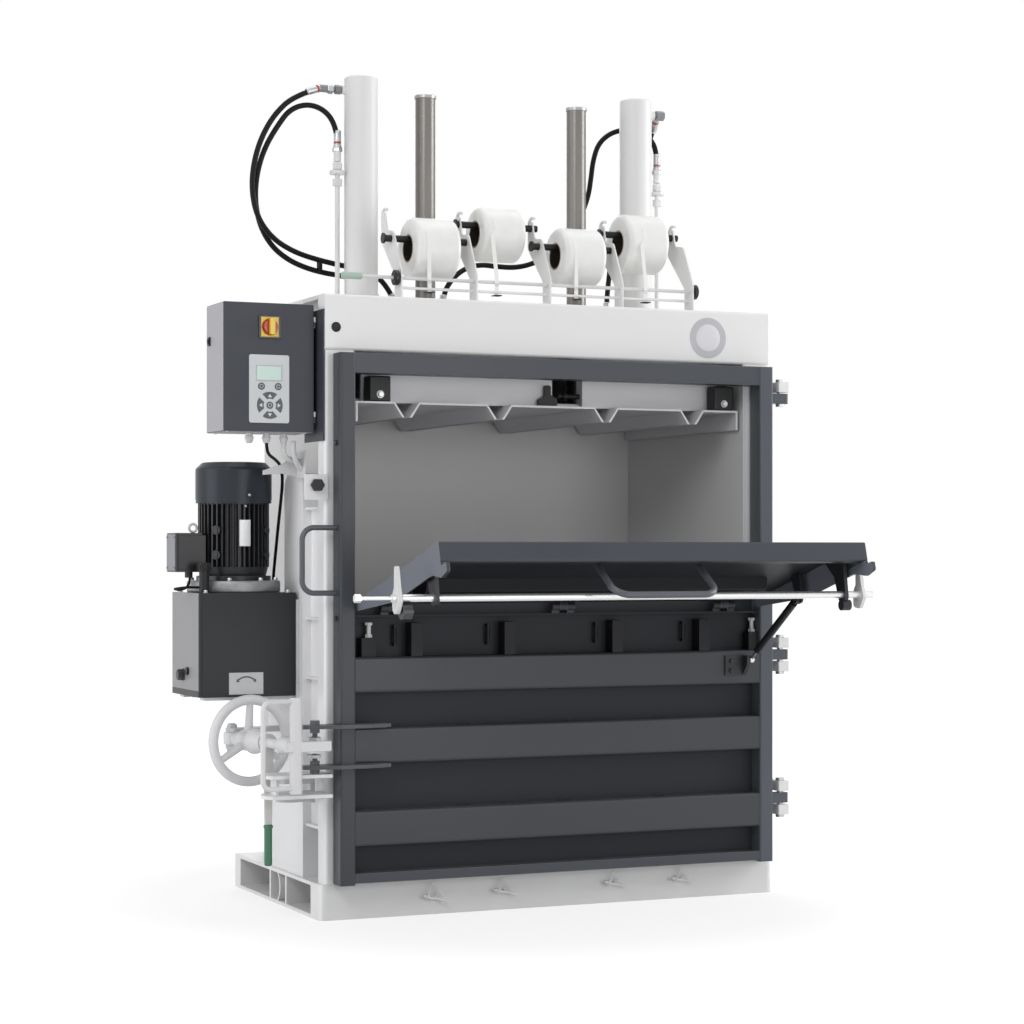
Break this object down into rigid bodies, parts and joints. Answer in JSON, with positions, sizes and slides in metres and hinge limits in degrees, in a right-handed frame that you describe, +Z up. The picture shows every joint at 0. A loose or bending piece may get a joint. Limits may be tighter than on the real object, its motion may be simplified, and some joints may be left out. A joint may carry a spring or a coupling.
{
  "type": "vertical recycling baler",
  "caption": "Vertical hydraulic recycling baler with a swing door, tilting loading flap, ram platen, power pack, control cabinet, door lock and strap spools.",
  "frame": {"origin": "on the floor, straight under the ram axis at the middle of the machine's width and chamber depth", "axes": "+X to the machine's right seen from its front, +Y to its back, +Z up"},
  "size_m": [1.7837, 1.4766, 2.408],
  "materials": {
    "light_paint": "satin",
    "base_paint": "satin",
    "anthracite_paint": "fine texture",
    "dark_paint": "satin",
    "bright_steel": "polished",
    "dark_steel": "oiled",
    "black_rubber": "matt",
    "black_plastic": "matt",
    "panel_plastic": "satin",
    "red_plastic": "gloss",
    "strap_white": "wound strap",
    "cast_grey": "painted"
  },
  "bodies": {
    "press_frame": {"base_frame": "base_paint", "chamber_body": "light_paint", "front_posts": "anthracite_paint", "stop_bolt": "dark_paint", "side_columns": "anthracite_paint", "header_panel": "light_paint", "top_deck": "light_paint", "press_cylinders": "light_paint", "hydraulic_pipes": "bright_steel", "spool_rack": "dark_paint", "spool_pins": "black_plastic", "hose_left_outer": "black_rubber", "hose_left_inner": "black_rubber", "hose_right": "black_rubber", "cables": "black_rubber", "cabinet_case": "anthracite_paint", "cabinet_fittings": "black_plastic", "oil_tank": "dark_paint", "tank_filler": "black_plastic", "motor_body": "dark_paint", "fan_cowl": "anthracite_paint", "terminal_box": "dark_paint", "frame_hinge_blocks": "light_paint", "lock_fork": "dark_paint", "strap_cleats": "dark_paint"},
    "door": {"door_frame": "anthracite_paint", "door_ribs": "anthracite_paint", "door_skin": "anthracite_paint", "door_hinge_blocks": "anthracite_paint", "door_hinge_pins": "bright_steel", "door_handle": "black_plastic", "lock_lugs": "light_paint", "retaining_claws": "light_paint", "strut_lower_bracket": "dark_paint", "flap_hinge_seats": "dark_paint"},
    "flap": {"flap_panel": "anthracite_paint", "flap_stiffener": "anthracite_paint", "flap_handle": "bright_steel", "flap_brackets": "dark_paint"},
    "flap_latch": {"latch_bar": "bright_steel", "latch_hooks": "light_paint"},
    "strut_rod": {"gas_strut_rod": "bright_steel"},
    "strut_barrel": {"gas_strut_barrel": "black_plastic"},
    "platen": {"platen": "anthracite_paint", "platen_guides": "black_plastic", "piston_rods": "bright_steel", "guide_posts": "dark_steel"},
    "cabinet_door": {"cabinet_door": "anthracite_paint", "cabinet_plates": "panel_plastic"},
    "switch_knob": {"switch_knob": "red_plastic"},
    "lock_arm": {"lock_arm": "dark_paint"},
    "lock_clamp": {"clamp_tube": "dark_paint"},
    "handwheel": {"handwheel": "cast_grey"},
    "lock_lever": {"lock_lever": "dark_paint"},
    "motor_fan": {"motor_fan": "black_plastic"},
    "strap_rod": {"strap_rod": "bright_steel"},
    "spool_1": {"strap_spool_1": "strap_white"},
    "spool_2": {"strap_spool_2": "strap_white"},
    "spool_3": {"strap_spool_3": "strap_white"},
    "spool_4": {"strap_spool_4": "strap_white"}
  },
  "joints": [
    {"name": "door_swing", "type": "hinge", "parent": "press_frame", "child": "door", "pos_m": [0.716, -0.426, 0.8], "axis": [0, 0, 1], "range_deg": [0, 110]},
    {"name": "flap_hinge", "type": "hinge", "parent": "door", "child": "flap", "pos_m": [0, -0.43, 0.862], "axis": [-1, 0, 0], "range_deg": [0, 74.4]},
    {"name": "strut_swing", "type": "hinge", "parent": "door", "child": "strut_rod", "pos_m": [0.59, -0.473, 0.7], "axis": [-1, 0, 0], "range_deg": [0, 53.37]},
    {"name": "strut_extend", "type": "slide", "parent": "strut_rod", "child": "strut_barrel", "axis": [0, -0.8239, 0.5668], "range_m": [0, 0.14406]},
    {"name": "flap_latch_turn", "type": "hinge", "parent": "flap", "child": "flap_latch", "pos_m": [0, -0.96909, 0.89831], "axis": [1, 0, 0], "range_deg": [-15, 25]},
    {"name": "platen_slide", "type": "slide", "parent": "press_frame", "child": "platen", "axis": [0, 0, -1], "range_m": [0, 0.6]},
    {"name": "cabinet_door_swing", "type": "hinge", "parent": "press_frame", "child": "cabinet_door", "pos_m": [-0.712, -0.333, 1.522], "axis": [0, 0, 1], "range_deg": [0, 90]},
    {"name": "switch_turn", "type": "hinge", "parent": "cabinet_door", "child": "switch_knob", "pos_m": [-0.844, -0.345, 1.633], "axis": [0, 1, 0], "range_deg": [0, 90]},
    {"name": "lock_arm_swing", "type": "hinge", "parent": "press_frame", "child": "lock_arm", "pos_m": [-0.881, -0.112, 0.49], "axis": [0, 0, -1], "range_deg": [0, 25]},
    {"name": "handwheel_turn", "type": "hinge", "parent": "lock_arm", "child": "handwheel", "pos_m": [-0.881, -0.112, 0.49], "axis": [0.1736, -0.9848, 0], "range_deg": [0, 1800]},
    {"name": "clamp_travel", "type": "slide", "parent": "lock_arm", "child": "lock_clamp", "axis": [0.1736, -0.9848, 0], "range_m": [0, 0.0201]},
    {"name": "lever_swing", "type": "hinge", "parent": "lock_arm", "child": "lock_lever", "pos_m": [-0.881, -0.112, 0.49], "axis": [0.1736, -0.9848, 0], "range_deg": [-90, 15]},
    {"name": "fan_spin", "type": "hinge", "parent": "press_frame", "child": "motor_fan", "pos_m": [-0.855, -0.045, 1.2], "axis": [0, 0, 1], "continuous": true},
    {"name": "strap_rod_turn", "type": "hinge", "parent": "press_frame", "child": "strap_rod", "pos_m": [0, -0.335, 1.786], "axis": [1, 0, 0], "range_deg": [-15, 15]},
    {"name": "spool_1_spin", "type": "hinge", "parent": "press_frame", "child": "spool_1", "pos_m": [-0.345, -0.273, 1.878], "axis": [1, 0, 0], "continuous": true},
    {"name": "spool_2_spin", "type": "hinge", "parent": "press_frame", "child": "spool_2", "pos_m": [-0.115, -0.217, 1.937], "axis": [1, 0, 0], "continuous": true},
    {"name": "spool_3_spin", "type": "hinge", "parent": "press_frame", "child": "spool_3", "pos_m": [0.116, -0.273, 1.878], "axis": [1, 0, 0], "continuous": true},
    {"name": "spool_4_spin", "type": "hinge", "parent": "press_frame", "child": "spool_4", "pos_m": [0.348, -0.217, 1.933], "axis": [1, 0, 0], "continuous": true}
  ],
  "couplings": [
    {"joint": "strut_swing", "follows": "flap_hinge", "ratio": 0.71065},
    {"joint": "strut_extend", "follows": "flap_hinge", "m_per_rad": 0.11017},
    {"joint": "clamp_travel", "follows": "handwheel_turn", "m_per_rad": 0.00063662}
  ]
}
